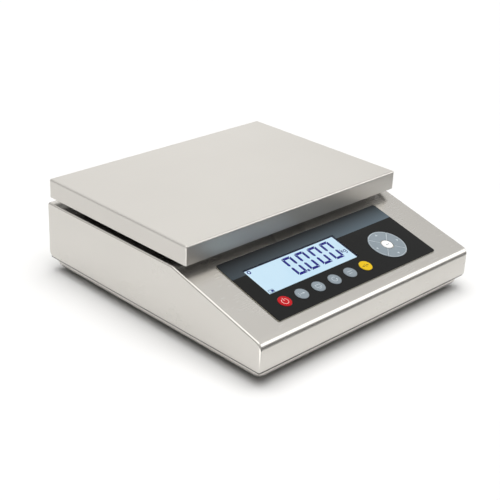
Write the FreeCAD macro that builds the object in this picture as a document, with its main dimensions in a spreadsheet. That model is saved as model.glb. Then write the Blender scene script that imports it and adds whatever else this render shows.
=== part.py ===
import FreeCAD, Part
import math
import os
import re

import Sketcher
from FreeCAD import Placement, Rotation, Vector

# A stainless bench scale: a wedge-shaped housing with its display and keys on the slope, a load cell
# on the bottom tray, and a weighing pan that rests on a spider over the deck.
# Millimetres and degrees. X is the width, Y runs from the front to the rear, Z is up, and the origin
# is under the middle of the whole scale, on the surface that it stands on.

SIZES = {
    # housing, a folded sheet
    "base_width": 306,
    "base_depth": 312,
    "housing_foot": 15.4,
    "front_height": 44.8,
    "slope_angle": 15,
    "slope_depth": 118.3,
    "sheet": 1.2,
    "front_bend": 8,
    "deck_bend": 15,
    "rear_bend": 3,
    "rear_foot_bend": 6.5,
    "front_foot_bend": 2.5,
    "side_bend": 2,
    "foot_flange": 24,
    # weighing pan
    "pan_width": 300,
    "pan_depth": 210,
    "pan_skirt": 20,
    "pan_gap": 5,
    "pan_bend": 2.2,
    # bottom tray and its gasket
    "tray_inset": 4.5,
    "tray_clearance": 5.5,
    "tray_height": 8.9,
    "tray_corner": 8,
    "tray_foot_bend": 5.5,
    "tray_lip_bend": 1.8,
    "tray_lip": 7,
    "gasket_margin": 1.7,
    "gasket_width": 8.8,
    "pillar_inset": 18,
    "pillar_radius": 4,
    "pillar_bore": 6.5,
    "tray_screw_radius": 2,
    "tray_screw_reach": 6,
    "tray_screw_head": 4,
    "tray_screw_head_height": 2.4,
    "screw_play": 0.05,
    # levelling feet
    "foot_inset": 34,
    "foot_pad_radius": 14,
    "foot_pad_height": 3,
    "foot_disc_radius": 11,
    "foot_disc_height": 2.2,
    "foot_pad_round": 0.8,
    "foot_disc_gap": 0.3,
    "foot_grip_radius": 0.9,
    "foot_spigot_radius": 5,
    "foot_spigot_height": 1.5,
    "stud_radius": 4,
    "stud_length": 15,
    "stud_play": 0.08,
    "bush_radius": 7,
    "bush_height": 10,
    # load cell and what carries it
    "cell_width": 30,
    "cell_length": 130,
    "cell_height": 22,
    "cell_end": 30,
    "cell_window_radius": 7,
    "cell_window_pitch": 26,
    "cell_spacer_height": 5,
    "stiffener_width": 60,
    "stiffener_overhang": 15,
    "stiffener_height": 3,
    "cell_bolt_radius": 3,
    "cell_bolt_pitch": 15,
    "cell_bolt_depth": 12,
    "cell_bolt_head": 5,
    "cell_bolt_head_height": 3,
    "stop_nut_radius": 5.5,
    "stop_nut_height": 2.5,
    "overload_gap": 0.8,
    # platform
    "post_radius": 15,
    "spider_gap": 3.5,
    "spider_rib": 4,
    "spider_rib_width": 4,
    "spider_plate": 6,
    "spider_bar": 30,
    "spider_spine": 50,
    "spider_clearance": 1,
    "cushion_radius": 8,
    "cushion_inset": 16,
    "seal_gap": 1,
    "seal_lip": 5,
    "seal_collar": 1.2,
    "seal_thickness": 1.5,
    "hub_margin": 5,
    # keypad, in the plane of the slope: up_ is measured from the front edge
    "overlay_width": 230,
    "overlay_height": 87.5,
    "overlay_offset": -0.5,
    "up_overlay": 15.2,
    "overlay_corner": 2.5,
    "circuit_thickness": 0.4,
    "overlay_thickness": 0.7,
    "window_width": 126.4,
    "window_height": 37.9,
    "window_left": -97,
    "up_window": 47.1,
    "window_rim": 4,
    "window_seat": 0.2,
    "up_keys": 32.9,
    "first_key": -91,
    "key_pitch": 22.9,
    "key_radius": 7,
    "key_play": 0.2,
    "key_rise": 0.4,
    "key_round": 0.3,
    "key_lift": 0.35,
    "ring_centre": 73,
    "up_ring": 46.6,
    "ring_radius": 20.7,
    "ring_bore": 6.9,
    "ring_gap": 0.8,
    "enter_radius": 6.1,
    "ribbon_width": 12,
    "ribbon_thickness": 0.4,
    "ribbon_reach": 6,
    "ribbon_play": 1.3,
    "ribbon_centre": 30,
    "up_ribbon": 24,
    # display, board and what holds them under the slope
    "glass_margin": 5,
    "glass_thickness": 2.3,
    "glass_depth": 0.3,
    "glass_play": 0.5,
    "backlight_thickness": 4,
    "frame_wall": 6,
    "frame_height": 8.8,
    "board_left": -118,
    "board_width": 222,
    "board_height": 78,
    "board_thickness": 1.6,
    "up_board": 20,
    "standoff_inset": 5,
    "standoff_radius": 3,
    "standoff_bore": 6,
    "board_screw_radius": 1.5,
    "board_screw_reach": 5,
    "board_screw_head": 2.75,
    "board_screw_head_height": 1.8,
    "header_width": 14,
    "header_length": 8,
    "header_height": 7,
    "ribbon_socket_length": 5,
    "ribbon_socket_height": 1.8,
    # battery and its strap
    "battery_width": 70,
    "battery_length": 102,
    "battery_height": 47,
    "battery_left": -126,
    "battery_front": 4,
    "strap_width": 20,
    "strap_sheet": 1,
    "strap_foot": 14,
    "strap_screw_radius": 2,
    "strap_screw_reach": 1.5,
    "strap_screw_head": 3.75,
    "strap_screw_head_height": 2.4,
    "terminal_width": 6.3,
    "terminal_length": 8,
    "terminal_height": 0.8,
    "terminal_pitch": 40,
    "terminal_drop": 10,
    # power inlet in the rear wall
    "inlet_side": 100,
    "inlet_up": 42,
    "inlet_flange_radius": 9,
    "inlet_flange": 1.5,
    "inlet_barrel_radius": 6,
    "inlet_length": 18,
    "inlet_bore_radius": 4,
    "inlet_bore_depth": 12,
    "inlet_pin_radius": 1,
    "inlet_pin_length": 9,
    "inlet_nut": 3,
    "inlet_nut_radius": 10,
    "panel_play": 0.2,
    # spirit level on the deck
    "level_side": -85,
    "level_back": 60,
    "level_radius": 10,
    "level_height": 4,
    "vial_radius": 7,
    "vial_depth": 3,
    # leads
    "cell_cable_radius": 2,
    "battery_lead_radius": 1,
    "power_lead_radius": 1.75,
    "lead_clearance": 0.3,
}

# Sizes worked out from the ones above.
WORKED_OUT = {
    "front": "-(base_depth + inlet_flange) / 2",
    "back": "front + base_depth",
    "deck": "front_height + slope_depth * tan(slope_angle)",
    "pan_top": "deck + pan_gap + pan_skirt",
    "pan_middle": "back - pan_depth / 2",
    "tray_top": "tray_clearance + tray_height",
    "floor_top": "tray_clearance + sheet",
    "stiffener_top": "floor_top + stiffener_height",
    "cell_foot": "stiffener_top + cell_spacer_height",
    "cell_top": "cell_foot + cell_height",
    "cell_fixed": "pan_middle + cell_length / 2 - cell_end / 2",
    "cell_free": "pan_middle - cell_length / 2 + cell_end / 2",
    "rib_foot": "deck + spider_gap",
    "plate_foot": "rib_foot + spider_rib",
    "plate_top": "plate_foot + spider_plate",
    "pan_ceiling": "pan_top - sheet",
    "bar_reach": "pan_width / 2 - sheet - spider_clearance",
    "bar_back": "back - sheet - spider_clearance",
    "bar_front": "back - pan_depth + sheet + spider_clearance",
    "overlay_left": "overlay_offset - overlay_width / 2",
    "overlay_top": "circuit_thickness + overlay_thickness",
    "window_middle": "window_left + window_width / 2",
    "up_window_middle": "up_window + window_height / 2",
    "glass_width": "window_width + 2 * glass_margin",
    "glass_height": "window_height + 2 * glass_margin",
    "opening_width": "glass_width + 2 * glass_play",
    "opening_height": "glass_height + 2 * glass_play",
    "frame_width": "opening_width + 2 * frame_wall",
    "frame_length": "opening_height + 2 * frame_wall",
    "key_foot": "circuit_thickness + key_lift",
    "key_height": "overlay_top + key_rise - key_foot",
    "frame_back": "-sheet - frame_height",
    "board_back": "frame_back - board_thickness",
    "inlet_end": "back + inlet_flange - inlet_length",
    "terminal_foot": "floor_top + battery_height - terminal_drop",
    "cable_rest": "floor_top + cell_cable_radius + lead_clearance",
    "power_rest": "floor_top + power_lead_radius + lead_clearance",
}

AXES = {"X": Vector(1, 0, 0), "Y": Vector(0, 1, 0), "Z": Vector(0, 0, 1)}
BEYOND = 1  # how far a tool that cuts a hole runs past the faces that it goes through
CLOSE = 1e-3  # lengths nearer than this are the same
SQUARE = 1e-6  # the most that the cross product of an edge and its axis may be
ARC_SHARE = 0.45  # how much of the shorter run an arc of a lead takes up
TUBE_ERROR = 0.01  # how far a lead's volume may be from its section times its length

document = FreeCAD.newDocument("bench_scale")
sheet = document.addObject("Spreadsheet::Sheet", "Sizes")
for row, (word, size) in enumerate(SIZES.items(), 1):
    sheet.set(f"A{row}", word)
    sheet.set(f"B{row}", str(size))
    sheet.setAlias(f"B{row}", word)
document.recompute()
reader = document.addObject("App::VarSet", "Reader")
reader.addProperty("App::PropertyFloat", "found")
nodes = []


def formula(words):
    """Swaps each word of a formula for its own formula or for its cell of the sheet."""

    def swap(match):
        word = match.group(0)
        if word == "BEYOND":
            return str(BEYOND)
        if word in WORKED_OUT:
            return f"({formula(WORKED_OUT[word])})"
        return f"Sizes.{word}" if word in SIZES else word

    return re.sub(r"[A-Za-z_]+", swap, str(words))


def number(words):
    """The present value of a formula."""
    reader.setExpression("found", formula(words))
    reader.recompute()
    return reader.found


def bind(made, **formulas):
    for size, words in formulas.items():
        made.setExpression(size, formula(words))
    return made


def node(name, made):
    """Names a finished sub-part, which becomes one file."""
    made.Label = name
    if made.Label != name:
        raise ValueError(f"another object is called {name}")
    nodes.append(made)
    return made


# Places


def put(made, x="0", y="0", z="0", axis="X", turn="0"):
    """Places an object in the scale's own frame, turned about one of its axes."""
    made.Placement = Placement(Vector(), Rotation(AXES[axis], 90))
    spots = {"Placement.Base.x": x, "Placement.Base.y": y, "Placement.Base.z": z}
    return bind(made, **spots, **{"Placement.Rotation.Angle": turn})


def on_slope(made, x="0", up="0", out="0", turn="0"):
    """Places an object on the slope: up it from the front edge, and out from its outer face."""
    y = f"front + ({up}) * cos(slope_angle) - ({out}) * sin(slope_angle)"
    z = f"front_height + ({up}) * sin(slope_angle) + ({out}) * cos(slope_angle)"
    return put(made, x, y, z, "X", f"slope_angle + {turn}")


# Primitives and booleans


def box(name, width, depth, height):
    made = document.addObject("Part::Box", name)
    return bind(made, Length=width, Width=depth, Height=height)


def block(name, x, y, z):
    """A box between two values along each axis."""
    sizes = (f"({high}) - ({low})" for low, high in (x, y, z))
    return put(box(name, *sizes), x[0], y[0], z[0])


def cylinder(name, radius, height):
    return bind(document.addObject("Part::Cylinder", name), Radius=radius, Height=height)


def disc(name, radius, height, x, y, z):
    return put(cylinder(name, radius, height), x, y, z)


def fuse(name, pieces):
    made = document.addObject("Part::MultiFuse", name)
    made.Shapes = pieces
    return made


def cut(name, piece, tools):
    made = document.addObject("Part::Cut", name)
    made.Base = piece
    made.Tool = tools[0] if len(tools) == 1 else fuse(f"{name}_tools", tools)
    return made


def group(name, pieces):
    """Identical pieces of one node, each a solid of its own."""
    made = document.addObject("Part::Compound", name)
    made.Links = pieces
    return made


def hexagon(name, radius, height):
    made = document.addObject("Part::Prism", name)
    made.Polygon = 6
    return bind(made, Circumradius=radius, Height=height)


def screw(name, kind, length, place, turned=False):
    """A socket screw of a kind. place sets each of its parts at the face that its head sits on."""
    shaft_turn, head_turn = ("180", "0") if turned else ("0", "180")
    radius, height = f"{kind}_head", f"{kind}_head_height"
    shaft = place(cylinder(f"{name}_shaft", f"{kind}_radius - screw_play", length), shaft_turn)
    head = place(cylinder(f"{name}_head", radius, height), head_turn)
    hollow = place(hexagon(f"{name}_hollow", f"{kind}_radius", height), head_turn)
    seat = place(cylinder(f"{name}_seat", radius, f"{height} / 2"), head_turn)
    return fuse(f"{name}_screw", [shaft, cut(f"{name}_socket", head, [hollow]), seat])


# PartDesign bodies


def body(name):
    return document.addObject("PartDesign::Body", f"{name}_body")


def sketch(owner, plane="XY_Plane", lift="0"):
    drawn = owner.newObject("Sketcher::SketchObject", "sketch")
    support = next(f for f in owner.Origin.OriginFeatures if f.Role == plane)
    drawn.AttachmentSupport = [(support, "")]
    drawn.MapMode = "FlatFace"
    return bind(drawn, **{"AttachmentOffset.Base.z": lift})


def fix(drawn, kind, size, *where):
    """Adds a dimension to a sketch and binds it to its size."""
    index = drawn.addConstraint(Sketcher.Constraint(kind, *where, number(size)))
    title = f"size_{index}"
    drawn.renameConstraint(index, title)
    drawn.setExpression(f"Constraints.{title}", formula(size))


def polygon(drawn, corners):
    first, count = drawn.GeometryCount, len(corners)
    points = [Vector(number(x), number(y), 0) for x, y in corners]
    for k in range(count):
        drawn.addGeometry(Part.LineSegment(points[k], points[(k + 1) % count]), False)
    for k, (x, y) in enumerate(corners):
        after = first + (k + 1) % count
        drawn.addConstraint(Sketcher.Constraint("Coincident", first + k, 2, after, 1))
        fix(drawn, "DistanceX", x, -1, 1, first + k, 1)
        fix(drawn, "DistanceY", y, -1, 1, first + k, 1)


def rectangle(drawn, left, right, low, high):
    polygon(drawn, [(left, low), (right, low), (right, high), (left, high)])


def circle(drawn, x, y, radius):
    centre = Vector(number(x), number(y), 0)
    ring = Part.Circle(centre, Vector(0, 0, 1), number(radius))
    index = drawn.addGeometry(ring, False)
    fix(drawn, "DistanceX", x, -1, 1, index, 3)
    fix(drawn, "DistanceY", y, -1, 1, index, 3)
    fix(drawn, "Radius", radius, index)


def pad(owner, drawn, length, side="One side"):
    made = owner.newObject("PartDesign::Pad", "pad")
    made.Profile = drawn
    made.SideType = side
    bind(made, Length=length)
    document.recompute()
    return made


def pocket(owner, drawn, depth, reversed_way=False):
    before = owner.Shape.Volume
    made = owner.newObject("PartDesign::Pocket", "pocket")
    made.Profile = drawn
    made.Reversed = reversed_way
    bind(made, Length=depth)
    document.recompute()
    if owner.Shape.Volume >= before:
        raise ValueError(f"{owner.Name}: a pocket cuts nothing")
    return made


def round_edges(owner, radius, wanted):
    """Rounds the edges of a body that wanted(edge) picks."""
    last = owner.Tip
    edges = enumerate(last.Shape.Edges, 1)
    names = [f"Edge{index}" for index, edge in edges if wanted(edge)]
    if not names:
        raise ValueError(f"{owner.Name}: no edge to round by {radius}")
    made = owner.newObject("PartDesign::Fillet", "fillet")
    made.Base = (last, names)
    bind(made, Radius=radius)
    document.recompute()
    return made


def near(found, wanted):
    return abs(found - wanted) < CLOSE


def flat_at(edge, axis, value):
    """Does an edge lie in the plane across an axis at a value?"""
    bounds = edge.BoundBox
    low, high = getattr(bounds, f"{axis}Min"), getattr(bounds, f"{axis}Max")
    return near(low, value) and near(high, value)


def along(edge, axis):
    """Is an edge a straight line along an axis?"""
    start, end = edge.Vertexes[0].Point, edge.Vertexes[-1].Point
    line = isinstance(edge.Curve, Part.Line)
    return line and (end - start).cross(AXES[axis]).Length < SQUARE


# Leads


def arc_route(points):
    """Straight runs joined by arcs as large as the two runs allow."""
    edges, start = [], points[0]
    for before, corner, after in zip(points, points[1:], points[2:]):
        back, ahead = before - corner, after - corner
        run = ARC_SHARE * min(back.Length, ahead.Length)
        back.normalize()
        ahead.normalize()
        enter, leave = corner + back * run, corner + ahead * run
        half = math.pi / 2 - back.getAngle(ahead) / 2
        radius = run / math.tan(half)
        inward = (back + ahead).normalize()
        middle = corner + inward * (radius / math.cos(half) - radius)
        edges += [Part.LineSegment(start, enter).toShape(), Part.Arc(enter, middle, leave).toShape()]
        start = leave
        print(f"  turn {math.degrees(2 * half):.0f} degrees, radius {radius:.1f}")
    return Part.Wire(edges + [Part.LineSegment(start, points[-1]).toShape()])


def lead(name, radius, spots):
    """A round lead along a route of straight runs and arcs."""
    print(name)
    points = [Vector(*(number(value) for value in spot)) for spot in spots]
    route = arc_route(points)
    section = Part.Circle(points[0], points[1] - points[0], number(radius))
    tube = route.makePipeShell([Part.Wire(section.toShape())], True, False)
    made = document.addObject("Part::Feature", name)
    made.Shape = tube
    made.Placement = Placement()
    expected = math.pi * number(radius) ** 2 * route.Length
    if abs(tube.Volume - expected) > TUBE_ERROR * expected:
        raise ValueError(f"{name}: its volume isn't its section times its length")
    return node(name, made)


# Housing


def housing_form(name, inset):
    """The housing's outer form, or its hollow when it is set in by the sheet's thickness."""
    made = body(name)
    face = sketch(made, "YZ_Plane")
    tilt = "tan(slope_angle)"
    slant = f"({inset}) / cos(slope_angle)"
    low = f"housing_foot + {inset}"
    corners = {
        "front_foot_bend": (f"front + {inset}", low),
        "front_bend": (f"front + {inset}", f"front_height + ({inset}) * {tilt} - {slant}"),
        "deck_bend": (f"front + slope_depth + ({slant} - {inset}) / {tilt}", f"deck - ({inset})"),
        "rear_bend": (f"back - ({inset})", f"deck - ({inset})"),
        "rear_foot_bend": (f"back - ({inset})", low),
    }
    polygon(face, list(corners.values()))
    pad(made, face, f"base_width - 2 * ({inset})", "Symmetric")
    for bend, (y, z) in corners.items():
        spot = Vector(0, number(y), number(z))
        round_edges(
            made,
            f"{bend} - ({inset})",
            lambda edge: along(edge, "X") and edge.distToShape(Part.Vertex(spot))[0] < 1e-3,
        )
    side = number(f"base_width / 2 - ({inset})")
    round_edges(
        made,
        f"side_bend - ({inset})",
        lambda edge: flat_at(edge, "X", side) or flat_at(edge, "X", -side),
    )
    return made


def upper_housing():
    bottom = block(
        "housing_mouth",
        ("foot_flange - base_width / 2", "base_width / 2 - foot_flange"),
        ("front + foot_flange", "back - foot_flange"),
        ("housing_foot - BEYOND", "housing_foot + sheet + BEYOND"),
    )
    display = on_slope(
        box("display_opening", "opening_width", "opening_height", "4 * sheet"),
        "window_middle - opening_width / 2",
        "up_window_middle - opening_height / 2",
        "-2 * sheet",
    )
    slot = on_slope(
        box(
            "ribbon_slot",
            "ribbon_width + 2 * ribbon_play",
            "ribbon_thickness + 2 * ribbon_play",
            "4 * sheet",
        ),
        "ribbon_centre - ribbon_width / 2 - ribbon_play",
        "up_ribbon - ribbon_thickness / 2 - ribbon_play",
        "-2 * sheet",
    )
    post_hole = disc(
        "post_hole",
        "post_radius + seal_gap + seal_collar",
        "4 * sheet",
        "0",
        "cell_free",
        "deck - 2 * sheet",
    )
    inlet_hole = put(
        cylinder("inlet_hole", "inlet_barrel_radius + panel_play", "4 * sheet"),
        "inlet_side", "back + 2 * sheet", "inlet_up", "X", "90",
    )
    tools = [housing_form("housing_hollow", "sheet"), bottom, display, slot, post_hole, inlet_hole]
    node("upper_housing", cut("upper_housing", housing_form("housing_outside", "0"), tools))


# Bottom tray, its gasket, pillars and screws


def tray_form(name, inset):
    made = body(name)
    half, ends = f"(base_width / 2 - tray_inset - {inset})", f"(tray_inset + {inset})"
    outline = sketch(made, lift=f"tray_clearance + {inset}")
    rectangle(outline, f"-{half}", half, f"front + {ends}", f"back - {ends}")
    pad(made, outline, f"tray_height - 2 * ({inset})")
    round_edges(made, f"tray_corner - ({inset})", lambda edge: along(edge, "Z"))
    low, high = number(f"tray_clearance + {inset}"), number(f"tray_top - ({inset})")
    round_edges(made, f"tray_foot_bend - ({inset})", lambda edge: flat_at(edge, "Z", low))
    round_edges(made, f"tray_lip_bend - ({inset})", lambda edge: flat_at(edge, "Z", high))
    return made


def pillar_spots():
    side = "(base_width / 2 - pillar_inset)"
    ends = ("front + pillar_inset", "pan_middle - cell_length", "back - pillar_inset")
    return [(f"{sign}{side}", y) for sign in ("-", "") for y in ends]


def foot_spots():
    side = "(base_width / 2 - foot_inset)"
    ends = {"front": "front + foot_inset", "rear": "back - foot_inset"}
    hands = {"left": f"-{side}", "right": side}
    return {f"{end}_{hand}": (hands[hand], ends[end]) for end in ends for hand in hands}


def cell_bolt_spots(middle):
    return [("0", f"{middle} + {sign} * cell_bolt_pitch / 2") for sign in (-1, 1)]


def strap_spots():
    middle = "battery_front + battery_length / 2"
    outer = "battery_left - strap_foot / 2"
    inner = "battery_left + battery_width + strap_foot / 2"
    return [(outer, middle), (inner, middle)]


def holes(name, spots, radius, low, high):
    """Round tools between two heights, to cut holes with."""
    return [
        disc(f"{name}_{k}", radius, f"({high}) - ({low})", x, y, low)
        for k, (x, y) in enumerate(spots)
    ]


def bottom_tray():
    rim = "(tray_inset + tray_lip)"
    mouth = block(
        "tray_mouth",
        (f"{rim} - base_width / 2", f"base_width / 2 - {rim}"),
        (f"front + {rim}", f"back - {rim}"),
        ("tray_top - sheet - BEYOND", "tray_top + BEYOND"),
    )
    depth = ("tray_clearance - BEYOND", "floor_top + BEYOND")
    tools = [tray_form("tray_hollow", "sheet"), mouth]
    tools += holes("tray_screw_hole", pillar_spots(), "tray_screw_radius", *depth)
    tools += holes("stud_hole", foot_spots().values(), "stud_radius + foot_disc_gap", *depth)
    tools += holes("cell_hole", cell_bolt_spots("cell_fixed"), "cell_bolt_radius", *depth)
    tools += holes("strap_hole", strap_spots(), "strap_screw_radius", *depth)
    node("bottom_tray", cut("bottom_tray", tray_form("tray_outside", "0"), tools))


def tray_gasket():
    """A flat rubber frame between the tray's lip and the housing, seen as a black line all round."""
    made = body("gasket")
    outline = sketch(made, lift="tray_top")
    for inset in ("gasket_margin", "(gasket_margin + gasket_width)"):
        half = f"(base_width / 2 - {inset})"
        rectangle(outline, f"-{half}", half, f"front + {inset}", f"back - {inset}")
    pad(made, outline, "housing_foot - tray_top")
    node("tray_gasket", made)


def tray_fastening():
    pillars, screws = [], []
    for k, (x, y) in enumerate(pillar_spots()):
        pillar = disc(f"pillar_{k}", "pillar_radius", "housing_foot - floor_top", x, y, "floor_top")
        bore = disc(f"pillar_bore_{k}", "tray_screw_radius", "pillar_bore", x, y, "floor_top")
        pillars.append(cut(f"drilled_pillar_{k}", pillar, [bore]))
        screws.append(
            screw(
                f"tray_screw_{k}", "tray_screw", "sheet + tray_screw_reach",
                lambda made, turn, x=x, y=y: put(made, x, y, "tray_clearance", "X", turn),
            )
        )
    node("housing_pillars", group("housing_pillars", pillars))
    node("tray_screws", group("tray_screws", screws))


# Levelling feet


def foot_bushes():
    bushes = []
    for name, (x, y) in foot_spots().items():
        bush = disc(f"bush_{name}", "bush_radius", "bush_height", x, y, "floor_top")
        bore = disc(f"bush_bore_{name}", "stud_radius + stud_play", "bush_height", x, y, "floor_top")
        bushes.append(cut(f"bored_bush_{name}", bush, [bore]))
    node("foot_bushes", group("foot_bushes", bushes))


def foot_pad(name, x, y):
    """A rubber pad with a recess that the screw's spigot turns in, and a rounded lower edge."""
    made = put(body(f"foot_pad_{name}"), x, y)
    outline = sketch(made)
    circle(outline, "0", "0", "foot_pad_radius")
    pad(made, outline, "foot_pad_height")
    recess = sketch(made, lift="foot_pad_height")
    circle(recess, "0", "0", "foot_spigot_radius + stud_play")
    pocket(made, recess, "foot_spigot_height")
    rim = number("foot_pad_radius")
    round_edges(made, "foot_pad_round", lambda edge: near(edge.BoundBox.XLength, 2 * rim))
    node(f"foot_pad_{name}", made)


def foot_screw(name, x, y):
    """A stud with a gripped disc, which lifts its corner of the scale as it turns."""
    made = put(body(f"foot_screw_{name}"), x, y)
    outline = sketch(made, lift="foot_pad_height")
    circle(outline, "0", "0", "foot_disc_radius")
    pad(made, outline, "foot_disc_height")
    grip = sketch(made, lift="foot_pad_height + foot_disc_height")
    circle(grip, "foot_disc_radius", "0", "foot_grip_radius")
    groove = pocket(made, grip, "foot_disc_height")
    ring = made.newObject("PartDesign::PolarPattern", "grip")
    ring.Originals = [groove]
    ring.Axis = (outline, ["N_Axis"])
    ring.Angle = 360
    ring.Occurrences = 18
    made.Tip = ring
    document.recompute()
    stud = sketch(made, lift="foot_pad_height")
    circle(stud, "0", "0", "stud_radius")
    pad(made, stud, "foot_disc_height + stud_length")
    spigot = sketch(made, lift="foot_pad_height - foot_spigot_height + stud_play")
    circle(spigot, "0", "0", "foot_spigot_radius")
    pad(made, spigot, "foot_spigot_height")
    node(f"foot_screw_{name}", made)


def feet():
    foot_bushes()
    for name, (x, y) in foot_spots().items():
        foot_pad(name, x, y)
        foot_screw(name, x, y)


# Load cell and the pieces that carry it


def cell_supports():
    half = "stiffener_width / 2"
    ends = (
        "cell_free - cell_end / 2 - stiffener_overhang",
        "cell_fixed + cell_end / 2 + stiffener_overhang",
    )
    plate = block("stiffener", (f"-{half}", half), ends, ("floor_top", "stiffener_top"))
    bolts = cell_bolt_spots("cell_fixed")
    span = ("floor_top - BEYOND", "stiffener_top + BEYOND")
    tools = holes("stiffener_hole", bolts, "cell_bolt_radius", *span)
    stop_hole = disc(
        "stop_hole", "cell_bolt_radius", "stiffener_height", "0", "cell_free", "floor_top"
    )
    node("stiffener_plate", cut("stiffener_plate", plate, tools + [stop_hole]))

    spacer = cell_end_block("spacer", "cell_fixed", "stiffener_top", "cell_foot")
    span = ("stiffener_top - BEYOND", "cell_foot + BEYOND")
    tools = holes("spacer_hole", bolts, "cell_bolt_radius", *span)
    node("load_cell_spacer", cut("load_cell_spacer", spacer, tools))

    stop = disc(
        "stop_screw", "cell_bolt_radius - screw_play", "cell_foot - overload_gap - floor_top",
        "0", "cell_free", "floor_top",
    )
    nut = hexagon("stop_nut", "stop_nut_radius", "stop_nut_height")
    put(nut, "0", "cell_free", "stiffener_top")
    node("overload_stop", fuse("overload_stop", [stop, nut]))


def cell_end_block(name, middle, low, high):
    """A block as wide and long as an end of the load cell."""
    half = "cell_width / 2"
    ends = (f"{middle} - cell_end / 2", f"{middle} + cell_end / 2")
    return block(name, (f"-{half}", half), ends, (low, high))


def load_cell():
    """An aluminium bar with a binocular window, which bends between its two ends."""
    bar = block(
        "cell_bar",
        ("-cell_width / 2", "cell_width / 2"),
        ("pan_middle - cell_length / 2", "pan_middle + cell_length / 2"),
        ("cell_foot", "cell_top"),
    )
    tools, middle = [], "cell_foot + cell_height / 2"
    for k, sign in enumerate((-1, 1)):
        y = f"pan_middle + {sign} * cell_window_pitch / 2"
        bore = cylinder(f"cell_window_{k}", "cell_window_radius", "cell_width + 2 * BEYOND")
        tools.append(put(bore, "-cell_width / 2 - BEYOND", y, middle, "Y", "90"))
    tools.append(
        block(
            "cell_slot",
            ("-cell_width / 2 - BEYOND", "cell_width / 2 + BEYOND"),
            ("pan_middle - cell_window_pitch / 2", "pan_middle + cell_window_pitch / 2"),
            (f"{middle} - cell_window_radius / 2", f"{middle} + cell_window_radius / 2"),
        )
    )
    fixed, free = cell_bolt_spots("cell_fixed"), cell_bolt_spots("cell_free")
    thread = ("cell_foot - BEYOND", "cell_foot + cell_bolt_depth + BEYOND")
    tools += holes("fixed_thread", fixed, "cell_bolt_radius", *thread)
    thread = ("cell_top - cell_bolt_depth - BEYOND", "cell_top + BEYOND")
    tools += holes("free_thread", free, "cell_bolt_radius", *thread)
    node("load_cell", cut("load_cell", bar, tools))
    length = "cell_foot + cell_bolt_depth - tray_clearance"
    bolts = [
        screw(
            f"cell_bolt_{k}", "cell_bolt", length,
            lambda made, turn, x=x, y=y: put(made, x, y, "tray_clearance", "X", turn),
        )
        for k, (x, y) in enumerate(fixed)
    ]
    node("load_cell_bolts", group("load_cell_bolts", bolts))


# Platform: post, spider, bolts and cushions


def platform_post():
    post = disc("post", "post_radius", "rib_foot - cell_top", "0", "cell_free", "cell_top")
    tools = holes(
        "post_hole", cell_bolt_spots("cell_free"), "cell_bolt_radius",
        "cell_top - BEYOND", "rib_foot + BEYOND",
    )
    node("platform_post", cut("platform_post", post, tools))
    length = "plate_top - cell_top + cell_bolt_depth"
    bolts = [
        screw(
            f"post_bolt_{k}", "cell_bolt", length,
            lambda made, turn, x=x, y=y: put(made, x, y, "plate_top", "X", turn),
            turned=True,
        )
        for k, (x, y) in enumerate(cell_bolt_spots("cell_free"))
    ]
    node("post_bolts", group("post_bolts", bolts))


def spider():
    """A spine over the load cell and a crossbar near each end of the pan, on ribs."""
    reach = ("-bar_reach", "bar_reach")
    plate = ("plate_foot", "plate_top")
    rib = ("rib_foot", "plate_foot")
    spine = ("-spider_spine / 2", "spider_spine / 2")
    pieces = [
        block("spine", spine, ("bar_front", "bar_back"), plate),
        block("front_bar", reach, ("bar_front", "bar_front + spider_bar"), plate),
        block("rear_bar", reach, ("bar_back - spider_bar", "bar_back"), plate),
        disc("hub", "post_radius + hub_margin", "spider_rib", "0", "cell_free", "rib_foot"),
    ]
    for k, sign in enumerate((-1, 1)):
        middle = f"{sign} * spider_spine / 2 - {sign} * spider_rib_width"
        wall = (f"{middle} - spider_rib_width / 2", f"{middle} + spider_rib_width / 2")
        pieces.append(block(f"spine_rib_{k}", wall, ("bar_front", "bar_back"), rib))
    for k, bar in enumerate(("bar_front + spider_bar / 2", "bar_back - spider_bar / 2")):
        wall = (f"{bar} - spider_rib_width / 2", f"{bar} + spider_rib_width / 2")
        pieces.append(block(f"bar_rib_{k}", reach, wall, rib))
    bolts = cell_bolt_spots("cell_free")
    tools = holes("spider_hole", bolts, "cell_bolt_radius", "rib_foot - BEYOND", "plate_top + BEYOND")
    node("platform_spider", cut("platform_spider", fuse("spider_cast", pieces), tools))


def pan_cushions():
    side = "(bar_reach - cushion_inset)"
    ends = ("bar_front + spider_bar / 2", "bar_back - spider_bar / 2")
    spots = [(f"{sign}{side}", y) for sign in ("-", "") for y in ends]
    cushions = holes("cushion", spots, "cushion_radius", "plate_top", "pan_ceiling")
    node("pan_cushions", group("pan_cushions", cushions))


def pan_form(name, inset):
    made = body(name)
    outline = sketch(made, lift="deck + pan_gap")
    half = f"(pan_width / 2 - {inset})"
    rectangle(outline, f"-{half}", half, f"back - pan_depth + {inset}", f"back - ({inset})")
    pad(made, outline, f"pan_skirt - ({inset})")
    high = number(f"pan_top - ({inset})")
    bend = f"pan_bend - ({inset})"
    round_edges(made, bend, lambda edge: along(edge, "Z") or flat_at(edge, "Z", high))
    return made


def weighing_pan():
    pan = cut("weighing_pan", pan_form("pan_outside", "0"), [pan_form("pan_hollow", "sheet")])
    node("weighing_pan", pan)


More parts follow.
